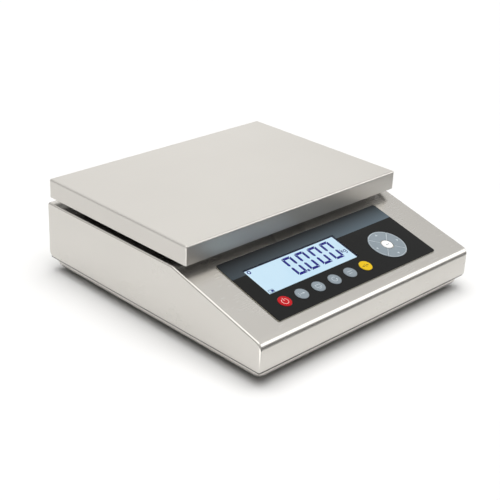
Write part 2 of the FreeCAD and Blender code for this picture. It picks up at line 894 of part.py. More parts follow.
def deck_seal():
    """A rubber ring that grips the edge of the deck's hole and clears the post."""
    inner, edge = "(post_radius + seal_gap)", "(post_radius + seal_gap + seal_collar)"
    outer = f"({edge} + seal_lip)"
    made = put(body("deck_seal"), "0", "cell_free")
    half = sketch(made, "XZ_Plane")
    low, high = "deck - sheet - seal_thickness", "deck + seal_thickness"
    profile = [
        (inner, low),
        (outer, low),
        (outer, "deck - sheet"),
        (edge, "deck - sheet"),
        (edge, "deck"),
        (outer, "deck"),
        (outer, high),
        (inner, high),
    ]
    polygon(half, profile)
    turned = made.newObject("PartDesign::Revolution", "turned")
    turned.Profile = half
    turned.ReferenceAxis = (half, ["V_Axis"])
    turned.Angle = 360
    document.recompute()
    node("deck_seal", made)


# Keypad: circuit, overlay and window, then its keys


def key_spots():
    names = ("power", "one", "two", "three", "four", "tare")
    return {f"key_{name}": f"first_key + {k} * key_pitch" for k, name in enumerate(names)}


def overlay_outline(drawn):
    left = "(overlay_left)"
    rectangle(drawn, left, f"{left} + overlay_width", "up_overlay", "up_overlay + overlay_height")


def middle_rectangle(drawn, width, height):
    """A rectangle about the middle of the display."""
    x, y = "window_middle", "up_window_middle"
    rectangle(
        drawn, f"{x} - {width} / 2", f"{x} + {width} / 2", f"{y} - {height} / 2", f"{y} + {height} / 2"
    )


def keypad():
    overlay_corners = {number("overlay_left"), number("overlay_left + overlay_width")}

    def at_corner(edge):
        spots = [near(edge.BoundBox.XMin, x) for x in overlay_corners]
        return along(edge, "Z") and any(spots)

    circuit = body("circuit")
    outline = sketch(circuit)
    overlay_outline(outline)
    middle_rectangle(outline, "opening_width", "opening_height")
    pad(circuit, outline, "circuit_thickness")
    round_edges(circuit, "overlay_corner", at_corner)
    ribbon = sketch(circuit, lift="-sheet - ribbon_reach")
    half = "ribbon_width / 2"
    rectangle(
        ribbon, f"ribbon_centre - {half}", f"ribbon_centre + {half}",
        "up_ribbon - ribbon_thickness / 2", "up_ribbon + ribbon_thickness / 2",
    )
    pad(circuit, ribbon, "sheet + ribbon_reach + circuit_thickness / 2")
    node("keypad_circuit", on_slope(circuit))

    overlay = body("overlay")
    outline = sketch(overlay, lift="circuit_thickness")
    overlay_outline(outline)
    middle_rectangle(outline, "window_width", "window_height")
    for x in key_spots().values():
        circle(outline, x, "up_keys", "key_radius + key_play")
    circle(outline, "ring_centre", "up_ring", "ring_radius + key_play")
    pad(overlay, outline, "overlay_thickness")
    round_edges(overlay, "overlay_corner", at_corner)
    node("keypad_overlay", on_slope(overlay))

    window = body("window")
    rim = sketch(window, lift="-window_seat")
    middle_rectangle(rim, "(window_width + 2 * window_rim)", "(window_height + 2 * window_rim)")
    pad(window, rim, "window_seat + circuit_thickness")
    pane = sketch(window)
    middle_rectangle(pane, "window_width", "window_height")
    pad(window, pane, "overlay_top")
    node("display_window", on_slope(window))


def round_key(name, x, up, radius):
    made = body(name)
    outline = sketch(made)
    circle(outline, "0", "0", radius)
    pad(made, outline, "key_height")
    high = number("key_height")
    round_edges(made, "key_round", lambda edge: flat_at(edge, "Z", high))
    node(name, on_slope(made, x, up, "key_foot"))


def direction_key(name, quarter):
    """A quarter of the ring, set out from the middle by half of the gap between two keys."""
    out, high = "(ring_gap / 2)", number("key_height")
    made = body(name)
    outline = sketch(made)
    radii = (number("ring_bore"), number("ring_radius"))
    far = [math.sqrt(radius**2 - number(out) ** 2) for radius in radii]
    low, middle = number(out), Vector()
    inner, outer = (
        Part.ArcOfCircle(
            Part.Circle(middle, Vector(0, 0, 1), radius),
            math.atan2(low, reach),
            math.atan2(reach, low),
        )
        for radius, reach in zip(radii, far)
    )
    near_side = Part.LineSegment(Vector(far[0], low, 0), Vector(far[1], low, 0))
    far_side = Part.LineSegment(Vector(low, far[1], 0), Vector(low, far[0], 0))
    for line in (near_side, outer, far_side, inner):
        outline.addGeometry(line, False)
    for first, first_end, second, second_end in ((0, 2, 1, 1), (1, 2, 2, 1), (2, 2, 3, 2), (3, 1, 0, 1)):
        outline.addConstraint(
            Sketcher.Constraint("Coincident", first, first_end, second, second_end)
        )
    for arc in (1, 3):
        outline.addConstraint(Sketcher.Constraint("Coincident", arc, 3, -1, 1))
    outline.addConstraint(Sketcher.Constraint("Horizontal", 0))
    outline.addConstraint(Sketcher.Constraint("Vertical", 2))
    fix(outline, "DistanceY", out, -1, 1, 0, 1)
    fix(outline, "DistanceX", out, -1, 1, 2, 1)
    fix(outline, "Radius", "ring_radius", 1)
    fix(outline, "Radius", "ring_bore", 3)
    pad(made, outline, "key_height")
    round_edges(made, "key_round", lambda edge: flat_at(edge, "Z", high))
    turned = Rotation(AXES["Z"], 45 + 90 * quarter)
    solid = document.addObject("Part::Compound", f"{name}_turned")
    solid.Links = [made]
    made.Placement = Placement(Vector(), turned)
    node(name, on_slope(solid, "ring_centre", "up_ring", "key_foot"))


def keys():
    for name, x in key_spots().items():
        round_key(name, x, "up_keys", "key_radius")
    for quarter, way in enumerate(("up", "left", "down", "right")):
        direction_key(f"key_{way}", quarter)
    round_key("key_enter", "ring_centre", "up_ring", "enter_radius")


# Display and board


def display():
    glass = box("glass", "glass_width", "glass_height", "glass_thickness")
    corner = ("window_middle - glass_width / 2", "up_window_middle - glass_height / 2")
    back = "(-glass_depth - glass_thickness)"
    node("lcd_panel", on_slope(glass, *corner, back))
    light = box("backlight", "glass_width", "glass_height", "backlight_thickness")
    node("lcd_backlight", on_slope(light, *corner, f"{back} - backlight_thickness"))
    made = body("lcd_frame")
    floor = sketch(made, lift="frame_back")
    middle_rectangle(floor, "frame_width", "frame_length")
    pad(made, floor, "frame_height")
    well = sketch(made, lift="-sheet")
    middle_rectangle(well, "opening_width", "opening_height")
    pocket(made, well, f"-sheet - {back} + backlight_thickness")
    node("lcd_frame", on_slope(made))


# Where each header on the board has its left edge, and how far up the slope its lower edge is.
HEADERS = {"battery": ("-74", "80"), "cell": ("38", "56"), "power": ("78", "56")}


def board_spots():
    near_side, far_side = "board_left + standoff_inset", "board_left + board_width - standoff_inset"
    low, high = "up_board + standoff_inset", "up_board + board_height - standoff_inset"
    return [(x, up) for x in (near_side, far_side) for up in (low, high)]


def board():
    plate = on_slope(
        box("board_plate", "board_width", "board_height", "board_thickness"),
        "board_left", "up_board", "board_back",
    )
    tools, standoffs, screws = [], [], []
    for k, (x, up) in enumerate(board_spots()):
        hole = cylinder(f"board_hole_{k}", "board_screw_radius", "board_thickness + 2 * BEYOND")
        tools.append(on_slope(hole, x, up, "board_back - BEYOND"))
        post = cylinder(f"standoff_post_{k}", "standoff_radius", "frame_height")
        bore = cylinder(f"standoff_bore_{k}", "board_screw_radius", "standoff_bore")
        parts = [on_slope(made, x, up, "frame_back") for made in (post, bore)]
        standoffs.append(cut(f"standoff_{k}", parts[0], parts[1:]))
        screws.append(
            screw(
                f"board_screw_{k}", "board_screw", "board_thickness + board_screw_reach",
                lambda made, turn, x=x, up=up: on_slope(made, x, up, "board_back", turn),
            )
        )
    node("main_board", cut("main_board", plate, tools))
    node("board_standoffs", group("board_standoffs", standoffs))
    node("board_screws", group("board_screws", screws))
    socket = on_slope(
        box("ribbon_socket", "header_width", "ribbon_socket_length", "ribbon_socket_height"),
        "ribbon_centre - header_width / 2", "up_ribbon - ribbon_socket_length / 2", "frame_back",
    )
    header = ("header_width", "header_length", "header_height")
    chips = {
        # left edge, distance up the slope, width, length and height of each component
        "processor": ("-30", "50", "16", "16", "2"),
        "converter": ("10", "50", "12", "10", "2"),
        "memory": ("-60", "50", "8", "6", "1.6"),
        "regulator": ("-85", "60", "10", "9", "4.5"),
        "battery_header": (*HEADERS["battery"], *header),
        "cell_header": (*HEADERS["cell"], *header),
        "power_header": (*HEADERS["power"], *header),
    }
    pieces = [socket] + [
        on_slope(box(name, width, length, height), x, up, f"board_back - {height}")
        for name, (x, up, width, length, height) in chips.items()
    ]
    node("board_components", group("board_components", pieces))


# Battery


def battery():
    right = "battery_left + battery_width"
    back_end = "battery_front + battery_length"
    top = "floor_top + battery_height"
    made = block(
        "battery_case", ("battery_left", right), ("battery_front", back_end), ("floor_top", top)
    )
    node("battery", made)
    middle, height = "(battery_left + battery_width / 2)", "terminal_foot"
    tabs = []
    for k, sign in enumerate((-1, 1)):
        x = f"{middle} + {sign} * terminal_pitch / 2"
        tabs.append(
            block(
                f"terminal_{k}",
                (f"{x} - terminal_width / 2", f"{x} + terminal_width / 2"),
                ("battery_front - terminal_length", "battery_front"),
                (height, f"{height} + terminal_height"),
            )
        )
    node("battery_terminals", group("battery_terminals", tabs))


def battery_strap():
    across = "(battery_front + battery_length / 2)"
    depth = (f"{across} - strap_width / 2", f"{across} + strap_width / 2")
    left, right = "(battery_left)", "(battery_left + battery_width)"
    width = (f"{left} - strap_sheet", f"{right} + strap_sheet")
    top = "(floor_top + battery_height)"
    foot = ("floor_top", "floor_top + strap_sheet")
    pieces = [
        block("strap_top", width, depth, (top, f"{top} + strap_sheet")),
        block("strap_left", (f"{left} - strap_sheet", left), depth, ("floor_top", top)),
        block("strap_right", (right, f"{right} + strap_sheet"), depth, ("floor_top", top)),
        block("strap_left_foot", (f"{left} - strap_foot", left), depth, foot),
        block("strap_right_foot", (right, f"{right} + strap_foot"), depth, foot),
    ]
    depth = ("floor_top - BEYOND", "floor_top + strap_sheet + BEYOND")
    tools = holes("strap_foot_hole", strap_spots(), "strap_screw_radius", *depth)
    node("battery_strap", cut("battery_strap", fuse("strap", pieces), tools))
    screws = [
        screw(
            f"strap_screw_{k}", "strap_screw", "strap_sheet + sheet + strap_screw_reach",
            lambda made, turn, x=x, y=y: put(made, x, y, "floor_top + strap_sheet", "X", turn),
            turned=True,
        )
        for k, (x, y) in enumerate(strap_spots())
    ]
    node("battery_strap_screws", group("battery_strap_screws", screws))


# Power inlet


def along_inlet(made, start):
    """Places a round piece on the inlet's axis, from a distance along Y towards the front."""
    return put(made, "inlet_side", start, "inlet_up", "X", "90")


def power_inlet():
    face = "back + inlet_flange"
    solid = fuse(
        "inlet_solid",
        [
            along_inlet(cylinder("inlet_flange", "inlet_flange_radius", "inlet_flange"), face),
            along_inlet(cylinder("inlet_barrel", "inlet_barrel_radius", "inlet_length"), face),
        ],
    )
    bore = along_inlet(cylinder("inlet_bore", "inlet_bore_radius", "inlet_bore_depth"), face)
    pin = along_inlet(
        cylinder("inlet_pin", "inlet_pin_radius", "inlet_pin_length + BEYOND"),
        f"{face} - inlet_bore_depth + inlet_pin_length",
    )
    node("power_inlet", fuse("power_inlet", [cut("inlet_bored", solid, [bore]), pin]))
    nut = hexagon("inlet_nut", "inlet_nut_radius", "inlet_nut")
    nut_bore = cylinder(
        "inlet_nut_bore", "inlet_barrel_radius + screw_play", "inlet_nut + 2 * BEYOND"
    )
    along_inlet(nut, "back - sheet")
    along_inlet(nut_bore, "back - sheet + BEYOND")
    node("power_inlet_nut", cut("power_inlet_nut", nut, [nut_bore]))


# Spirit level


def spirit_level():
    x, y = "level_side", "level_back"
    case = disc("level_body", "level_radius", "level_height", x, y, "deck")
    well = disc("level_well", "vial_radius", "vial_depth", x, y, "deck + level_height - vial_depth")
    node("level_case", cut("level_case", case, [well]))
    vial = disc("vial", "vial_radius", "vial_depth", x, y, "deck + level_height - vial_depth")
    node("level_vial", vial)


# Leads between the pieces inside


def header_spot(name):
    """The middle of the face of a header on the board's back."""
    left, low = HEADERS[name]
    out = "(board_back - header_height)"
    up = f"({low} + header_length / 2)"
    y = f"front + {up} * cos(slope_angle) - {out} * sin(slope_angle)"
    z = f"front_height + {up} * sin(slope_angle) + {out} * cos(slope_angle)"
    return (f"{left} + header_width / 2", y, z)


def below(spot, drop):
    """A point below a header, straight out from it."""
    x, y, z = spot
    return (x, f"{y} + {drop} * sin(slope_angle)", f"{z} - {drop} * cos(slope_angle)")


def leads():
    cell_end = header_spot("cell")
    side, low = "cell_width / 2", "cable_rest"
    lead(
        "load_cell_cable", "cell_cable_radius",
        [
            (side, "cell_fixed", "cell_foot + 6"),
            (f"{side} + 18", "cell_fixed", "cell_foot + 6"),
            (f"{side} + 29", "cell_fixed - 13", "cell_foot"),
            (f"{side} + 33", "cell_fixed - 36", low),
            (f"{side} + 35", "cell_fixed - 70", low),
            (f"{side} + 35.5", "cell_fixed - 106", low),
            ("48.5", "cell_fixed - 142", low),
            ("45.5", "cell_fixed - 176", f"{low} + 4"),
            below(cell_end, "14"),
            cell_end,
        ],
    )
    tab = "(battery_left + battery_width / 2)"
    tab_height = "(terminal_foot + terminal_height / 2)"
    header_x, header_y, header_z = header_spot("battery")
    for name, sign, offset in (("black", "-", "-3"), ("red", "+", "3")):
        start = (f"{tab} {sign} terminal_pitch / 2", "battery_front - terminal_length", tab_height)
        end = (f"{header_x} + {offset}", header_y, header_z)
        x, y, z = start
        lead(
            f"battery_lead_{name}", "battery_lead_radius",
            [
                start,
                (x, f"{y} - 16", z),
                (f"({x} + {end[0]}) / 2", f"{y} - 32", f"{z} - 11"),
                (f"{end[0]} + ({offset}) / 2", f"{y} - 50", f"{z} - 19"),
                below(end, "20"),
                end,
            ],
        )
    power = header_spot("power")
    lead(
        "power_lead", "power_lead_radius",
        [
            ("inlet_side", "inlet_end", "inlet_up"),
            ("inlet_side", "inlet_end - 20", "inlet_up"),
            ("inlet_side + 6", "inlet_end - 46", "inlet_up - 22"),
            ("inlet_side + 11", "inlet_end - 86", "power_rest"),
            ("inlet_side + 12", "inlet_end - 126", "power_rest"),
            ("inlet_side + 7", "inlet_end - 166", "power_rest"),
            (f"{power[0]} + 7", "inlet_end - 200", "power_rest + 3"),
            below(power, "14"),
            power,
        ],
    )


def save():
    """Checks every object, then writes each sub-part to its own file."""
    document.recompute()
    for made in document.Objects:
        bad = [state for state in made.State if state in ("Invalid", "Error")]
        if bad:
            raise ValueError(f"{made.Name} ({made.Label}) is {bad}")
    os.makedirs("parts", exist_ok=True)
    for made in nodes:
        if made.Shape.isNull() or not made.Shape.isValid():
            raise ValueError(f"{made.Label} has no valid shape")
        made.Shape.exportStep(f"parts/{made.Label}.step")
    print(len(nodes), "sub-parts")


upper_housing()
bottom_tray()
tray_gasket()
tray_fastening()
feet()
cell_supports()
load_cell()
platform_post()
spider()
pan_cushions()
weighing_pan()
deck_seal()
keypad()
keys()
display()
board()
battery()
battery_strap()
power_inlet()
spirit_level()
leads()
save()
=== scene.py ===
import math

import bmesh
import bpy
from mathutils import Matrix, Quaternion, Vector

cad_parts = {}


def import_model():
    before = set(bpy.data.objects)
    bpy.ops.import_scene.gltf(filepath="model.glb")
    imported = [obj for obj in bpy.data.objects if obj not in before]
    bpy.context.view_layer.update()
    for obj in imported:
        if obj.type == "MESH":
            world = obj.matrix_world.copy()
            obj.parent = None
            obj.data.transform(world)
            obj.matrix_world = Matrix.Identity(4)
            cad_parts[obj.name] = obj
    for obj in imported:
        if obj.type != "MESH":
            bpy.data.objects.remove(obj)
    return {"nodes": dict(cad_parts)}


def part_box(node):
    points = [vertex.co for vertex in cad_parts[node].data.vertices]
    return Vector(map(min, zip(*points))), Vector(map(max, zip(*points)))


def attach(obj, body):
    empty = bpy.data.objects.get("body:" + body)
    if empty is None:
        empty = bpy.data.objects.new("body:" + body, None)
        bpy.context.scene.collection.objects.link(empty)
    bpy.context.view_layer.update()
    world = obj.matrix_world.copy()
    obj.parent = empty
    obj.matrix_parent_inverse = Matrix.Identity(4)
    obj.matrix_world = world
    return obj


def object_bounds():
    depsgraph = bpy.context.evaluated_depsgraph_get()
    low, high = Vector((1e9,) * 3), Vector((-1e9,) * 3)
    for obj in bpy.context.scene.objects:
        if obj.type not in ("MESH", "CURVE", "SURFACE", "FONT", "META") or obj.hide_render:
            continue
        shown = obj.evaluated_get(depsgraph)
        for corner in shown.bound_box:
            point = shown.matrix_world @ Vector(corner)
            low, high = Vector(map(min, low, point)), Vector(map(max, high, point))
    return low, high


# The looks of a stainless bench scale: its materials, the prints on its keypad and keys, the figures
# of its display, and a pale studio. Metres, in the frame of the CAD model: X is the width, Y runs from
# the front to the rear and Z is up. Sizes of prints and marks are in millimetres, times MM.

MM = 0.001

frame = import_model()
cad_low, cad_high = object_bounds()
nodes = frame["nodes"]


# Materials


class Graph:
    """The nodes of a material or of the world."""

    def __init__(self, owner):
        owner.use_nodes = True
        self.tree = owner.node_tree

    def add(self, kind, settings=None, **inputs):
        """A node with its settings, whose inputs are numbers or sockets of other nodes."""
        made = self.tree.nodes.new(kind)
        for setting, value in (settings or {}).items():
            setattr(made, setting, value)
        for words, value in inputs.items():
            self.feed(made.inputs[words.replace("_", " ").strip().title()], value)
        return made

    def feed(self, socket, value):
        """Links an input to another node's socket, or sets its number or colour."""
        if isinstance(value, bpy.types.NodeSocket):
            self.tree.links.new(value, socket)
        else:
            socket.default_value = value

    def math(self, operation, *values):
        """The result of one arithmetic step on numbers or sockets."""
        made = self.tree.nodes.new("ShaderNodeMath")
        made.operation = operation
        for socket, value in zip(made.inputs, values):
            self.feed(socket, value)
        return made.outputs[0]

    def place(self, stretch=(1, 1, 1)):
        """Coordinates in the frame of the model, which ride with each body."""
        spot = self.add("ShaderNodeTexCoord").outputs["Object"]
        return self.add("ShaderNodeMapping", vector=spot, scale=stretch).outputs[0]

    def noise(self, scale, detail=3, stretch=(1, 1, 1), roughness=0.5):
        """Noise from 0 to 1, at a number of lumps per metre."""
        spot = self.place(stretch)
        made = self.add("ShaderNodeTexNoise", vector=spot, scale=scale, detail=detail)
        made.inputs["Roughness"].default_value = roughness
        return made.outputs["Fac"]

    def between(self, factor, low, high, start=0.0, end=1.0, smooth=False):
        """A number that goes from low to high while the factor goes from start to end."""
        made = self.tree.nodes.new("ShaderNodeMapRange")
        made.interpolation_type = "SMOOTHSTEP" if smooth else "LINEAR"
        for socket, value in zip(made.inputs, (factor, start, end, low, high)):
            self.feed(socket, value)
        return made.outputs[0]

    def blend(self, factor, one, other):
        """A colour from one to another."""
        made = self.add("ShaderNodeMix", {"data_type": "RGBA"})
        first, second = [socket for socket in made.inputs if socket.type == "RGBA"]
        self.feed(made.inputs["Factor"], factor)
        self.feed(first, one)
        self.feed(second, other)
        return next(socket for socket in made.outputs if socket.type == "RGBA")


SOCKETS = {
    "colour": "Base Color",
    "metal": "Metallic",
    "rough": "Roughness",
    "specular": "Specular IOR Level",
    "glow": "Emission Color",
    "glow_strength": "Emission Strength",
    "normal": "Normal",
}


class Surface(Graph):
    """A material around one Principled shader, whose sockets are set by name."""

    def __init__(self, name, **sockets):
        self.material = bpy.data.materials.new(name)
        super().__init__(self.material)
        self.shader = self.tree.nodes["Principled BSDF"]
        for words, value in sockets.items():
            self.shader.inputs[SOCKETS[words]].default_value = value

    def set(self, words, value):
        """Feeds one of the shader's sockets, named as in SOCKETS."""
        self.feed(self.shader.inputs[SOCKETS[words]], value)

    def bump(self, height, distance, strength=1.0):
        """Raises the surface by a height of 0 to 1, times a distance in metres."""
        made = self.add("ShaderNodeBump", strength=strength, distance=distance, height=height)
        self.set("normal", made.outputs[0])


def shade(red, green, blue):
    """A colour as a screen shows it, from 0 to 255, made linear."""
    parts = [value / 255 for value in (red, green, blue)]
    linear = [p / 12.92 if p <= 0.04045 else ((p + 0.055) / 1.055) ** 2.4 for p in parts]
    return (*linear, 1.0)


def toned(made, base, spread, scale, detail=2):
    """Gives a material its colour, a little darker and lighter from place to place."""
    dark = tuple(value * (1 - spread) for value in base[:3]) + (1.0,)
    light = tuple(min(1, value * (1 + spread)) for value in base[:3]) + (1.0,)
    patches = made.between(made.noise(scale, detail), 0, 1, 0.3, 0.7)
    made.set("colour", made.blend(patches, dark, light))


def steel(name, base, rough, grain):
    """Satin stainless sheet, with a fine grain that runs along one axis."""
    made = Surface(name, metal=1.0)
    toned(made, base, 0.012, 9)
    fine = made.noise(900, 4, grain, roughness=0.65)
    patches = made.noise(14, 2)
    together = made.math("ADD", made.math("MULTIPLY", fine, 0.5), made.math("MULTIPLY", patches, 0.5))
    made.set("rough", made.between(together, rough - 0.03, rough + 0.03, 0.3, 0.7))
    made.bump(fine, 0.00002, 0.03)
    return made.material


def plated(name, base, rough=0.34):
    """Zinc-plated or nickel-plated steel, slightly cloudy."""
    made = Surface(name, metal=1.0)
    toned(made, base, 0.08, 90, 4)
    made.set("rough", made.between(made.noise(260, 3), rough - 0.07, rough + 0.09, 0.3, 0.7))
    made.bump(made.noise(900, 3), 0.00003, 0.3)
    return made.material


def cast(name, base):
    """Cast aluminium, with a shot-blasted skin."""
    made = Surface(name, metal=0.9)
    toned(made, base, 0.07, 60, 4)
    made.set("rough", made.between(made.noise(300, 4), 0.46, 0.6, 0.3, 0.7))
    made.bump(made.noise(1400, 3), 0.00012, 0.5)
    return made.material


def moulded(name, base, rough=0.45, texture=0.00004, spread=0.05):
    """Moulded plastic or rubber, with a fine spark-eroded texture."""
    made = Surface(name)
    toned(made, base, spread, 70, 3)
    made.set("rough", made.between(made.noise(500, 3), rough - 0.05, rough + 0.06, 0.3, 0.7))
    made.bump(made.noise(2200, 2), texture, 0.4)
    return made.material


def film(name, base, rough=0.4):
    """A printed polyester film: a matt skin with a faint orange peel."""
    made = Surface(name, specular=0.15)
    toned(made, base, 0.03, 40)
    made.set("rough", made.between(made.noise(700, 2), rough - 0.03, rough + 0.03, 0.3, 0.7))
    made.bump(made.noise(1500, 2), 0.000008, 0.3)
    return made.material


def ink(name, base):
    """Printing ink or a display's segment: a colour with hardly any gloss."""
    made = Surface(name, specular=0.02)
    toned(made, base, 0.06, 120)
    made.set("rough", made.between(made.noise(900, 2), 0.7, 0.8, 0.3, 0.7))
    return made.material


STAINLESS = (0.635, 0.615, 0.58, 1.0)
# The stretch of a noise whose grain runs along an axis
ALONG_X, ALONG_Y = (0.06, 1, 1), (1, 0.06, 1)
# The light of the display in its middle and at its edges
LCD_LIGHT = (0.56, 0.775, 0.93, 1.0)
LCD_EDGE = (0.78, 0.93, 1.0, 1.0)
# The depth of the overlay's band from its upper edge, and of the painted shadow of the pan that darkens
# the band towards the pan, in millimetres
BAND, PAN_SHADOW_DEPTH = 24, 22
# How far from the scale's sides the painted shade across the band, darker on the left, starts and stops,
# in millimetres
PAINTED_SHADE_INSET = 40


def overlay_material(split):
    """Black film with a grey-blue band printed above a place up the slope.

    The band's colour holds painted shade: a painted shadow of the pan darkens it towards the pan, and
    painted shade makes it darker on the left.
    """
    made = Surface("overlay_print", specular=0.16)
    up = made.add("ShaderNodeSeparateXYZ", vector=made.place()).outputs
    left, right = cad_low.x + PAINTED_SHADE_INSET * MM, cad_high.x - PAINTED_SHADE_INSET * MM
    # Painted shade: the band's colour is darker towards the left side
    painted_side_shade = made.between(up["X"], 0.4, 1.0, left, right)
    along = made.math(
        "ADD",
        made.math("MULTIPLY", up["Y"], up_slope.y),
        made.math("MULTIPLY", up["Z"], up_slope.z),
    )
    band = made.math("GREATER_THAN", along, split)
    speck = made.between(made.noise(900, 3), 0.0, 1.0, 0.35, 0.65)
    black = made.blend(speck, shade(5, 6, 6), shade(9, 10, 10))
    # Painted shadow of the pan: the band's colour darkens up the slope towards the pan
    painted_pan_shadow = made.between(along, 1.0, 0.15, split, split + PAN_SHADOW_DEPTH * MM)
    painted_shade = made.math("MULTIPLY", painted_side_shade, painted_pan_shadow)
    grey = made.blend(painted_shade, shade(10, 11, 12), shade(88, 102, 112))
    made.set("colour", made.blend(band, black, grey))
    made.set("rough", made.between(made.noise(700, 2), 0.36, 0.44, 0.3, 0.7))
    made.bump(made.noise(1500, 2), 0.000008, 0.3)
    return made.material


def clear_material(name, tint, gloss=0.012, rough=0.1):
    """A clear sheet that shows what is behind it, with a faint reflection."""
    made = bpy.data.materials.new(name)
    graph = Graph(made)
    graph.tree.nodes.remove(graph.tree.nodes["Principled BSDF"])
    through = graph.add("ShaderNodeBsdfTransparent", color=tint)
    shine = graph.add("ShaderNodeBsdfGlossy", roughness=rough)
    weight = graph.add("ShaderNodeLayerWeight", blend=0.5)
    steep = graph.math("POWER", weight.outputs["Facing"], 5)
    share = graph.math("MULTIPLY_ADD", steep, 1 - gloss, gloss)
    mixed = graph.add("ShaderNodeMixShader")
    for socket, source in zip(mixed.inputs, (share, through.outputs[0], shine.outputs[0])):
        graph.feed(socket, source)
    graph.feed(graph.tree.nodes["Material Output"].inputs["Surface"], mixed.outputs[0])
    return made


def lcd_material(low, high):
    """The lit glass of the display, palest round its edges, where the light comes in."""
    made = Surface("lcd_lit", colour=(0.02, 0.03, 0.04, 1), rough=0.25, glow_strength=0.95)
    parts = made.add("ShaderNodeSeparateXYZ", vector=made.place()).outputs
    edge = 0.0
    for axis, reach in (("X", 9 * MM), ("Y", 6 * MM)):
        near, far = getattr(low, axis.lower()), getattr(high, axis.lower())
        left = made.between(parts[axis], 1.0, 0.0, near, near + reach)
        right = made.between(parts[axis], 0.0, 1.0, far - reach, far)
        edge = made.math("MAXIMUM", edge, made.math("MAXIMUM", left, right))
    uneven = made.between(made.noise(22, 1), 0.0, 0.25, 0.3, 0.7)
    factor = made.math("ADD", made.math("MULTIPLY", edge, 0.75), uneven)
    made.set("glow", made.blend(factor, LCD_LIGHT, LCD_EDGE))
    return made.material


def board_material():
    """A green circuit board with a faint weave and copper tracks under its lacquer."""
    made = Surface("board_lacquer", specular=0.5)
    tracks = made.add(
        "ShaderNodeTexVoronoi",
        {"feature": "DISTANCE_TO_EDGE", "distance": "MANHATTAN"},
        vector=made.place(),
        scale=260.0,
    ).outputs["Distance"]
    line = made.between(tracks, 1.0, 0.0, 0.02, 0.05)
    made.set("colour", made.blend(line, shade(20, 82, 52), shade(46, 122, 74)))
    made.set("rough", made.between(made.noise(400, 2), 0.3, 0.42, 0.3, 0.7))
    made.bump(line, 0.00003, 0.4)
    return made.material


# The slope, whose axes the prints and marks follow


out_slope = max(
    (face for face in nodes["keypad_overlay"].data.polygons if face.normal.z > 0.5),
    key=lambda face: face.area,
).normal.copy()
across = Vector((1, 0, 0))
up_slope = out_slope.cross(across).normalized()


def reach(node, axis):
    """The lowest and highest places of a node along an axis."""
    places = [vertex.co.dot(axis) for vertex in nodes[node].data.vertices]
    return min(places), max(places)


def top_centre(node):
    """The middle of a node's outer face on the slope."""
    left, right = reach(node, across)
    low, high = reach(node, up_slope)
    _, top = reach(node, out_slope)
    return across * (left + right) / 2 + up_slope * (low + high) / 2 + out_slope * top


# Thin prints and marks, as closed plates on a face


def ribbon(points, width, closed=False):
    """The outlines of a stroke of one width along points, as one four-cornered piece for each run."""
    count = len(points)
    sides = []
    for k, point in enumerate(points):
        before = points[k - 1] if closed or k > 0 else None
        after = points[(k + 1) % count] if closed or k < count - 1 else None
        runs = []
        if before is not None:
            runs.append((Vector(point) - Vector(before)).normalized())
        if after is not None:
            runs.append((Vector(after) - Vector(point)).normalized())
        along = sum(runs, Vector((0, 0))).normalized()
        aside = Vector((-along.y, along.x)) * width / 2 / along.dot(runs[0])
        sides.append((Vector(point) + aside, Vector(point) - aside))
    last = count if closed else count - 1
    return [
        (sides[k][0], sides[k][1], sides[(k + 1) % count][1], sides[(k + 1) % count][0])
        for k in range(last)
    ]


def arc(x, y, radius, start=0.0, end=360.0, steps=28):
    """Points on a circle from one angle to another, counter-clockwise from the right."""
    angles = [math.radians(start + (end - start) * k / steps) for k in range(steps + 1)]
    return [(x + radius * math.cos(angle), y + radius * math.sin(angle)) for angle in angles]


def ring(x, y, radius, width):
    """The outlines of a closed circular stroke round a place."""
    return ribbon(arc(x, y, radius)[:-1], width, closed=True)


def rectangle(left, low, right, high):
    """The corners of a rectangle, counter-clockwise."""
    return [(left, low), (right, low), (right, high), (left, high)]


def plate(name, shapes, centre, thickness, material, body):
    """A piece of flat shapes on a face of the slope, each closed all round. Millimetres."""
    mesh = bmesh.new()
    for shape in shapes:
        low, high = [], []
        for x, y in shape:
            spot = centre + (across * x + up_slope * y) * MM
            low.append(mesh.verts.new(spot))
            high.append(mesh.verts.new(spot + out_slope * thickness * MM))
        mesh.faces.new(high)
        mesh.faces.new(low[::-1])
        for k in range(len(shape)):
            after = (k + 1) % len(shape)
            mesh.faces.new((low[k], low[after], high[after], high[k]))
    bmesh.ops.remove_doubles(mesh, verts=mesh.verts, dist=0.5e-6)
    inner = {}
    for face in mesh.faces:
        inner.setdefault(frozenset(face.verts), []).append(face)
    bmesh.ops.delete(
        mesh, geom=[f for faces in inner.values() if len(faces) > 1 for f in faces], context="FACES"
    )
    bmesh.ops.recalc_face_normals(mesh, faces=mesh.faces)
    data = bpy.data.meshes.new(name)
    mesh.to_mesh(data)
    mesh.free()
    data.materials.append(material)
    made = bpy.data.objects.new(name, data)
    bpy.context.scene.collection.objects.link(made)
    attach(made, body)
    return made


# Display


# The prints on the glass: their thickness, sizes and places from its middle, in millimetres
PRINT = 0.02
SEGMENT = 3.1
DIGITS = 4
DIGIT_LEFT, DIGIT_RIGHT, DIGIT_PITCH = -13.3, -3.7, 17.87
DIGIT_LOW, DIGIT_MIDDLE, DIGIT_HIGH = -9.65, 2.1, 14.0
MIDDLE_GAP, CORNER_GAP = 1.5, 0.05
POINT_PLACE, POINT_SIZE = (-0.2, -9.65), 2.8
UNIT_PLACE, UNIT_STEM, UNIT_LINE = (53.1, -6.1), 0.8, 0.75
ZERO_MARK = (-57.6, 15.2, 1.75, 1.1)
BATTERY, BATTERY_LINE = (-59.8, -17.2, -53.8, -13.3), 0.45
# The lit part, and how far the glass reaches from its middle
LIT = (-62.4, -18.6, 62.0, 17.9)
GLASS_REACH = (67.8, 23.6)


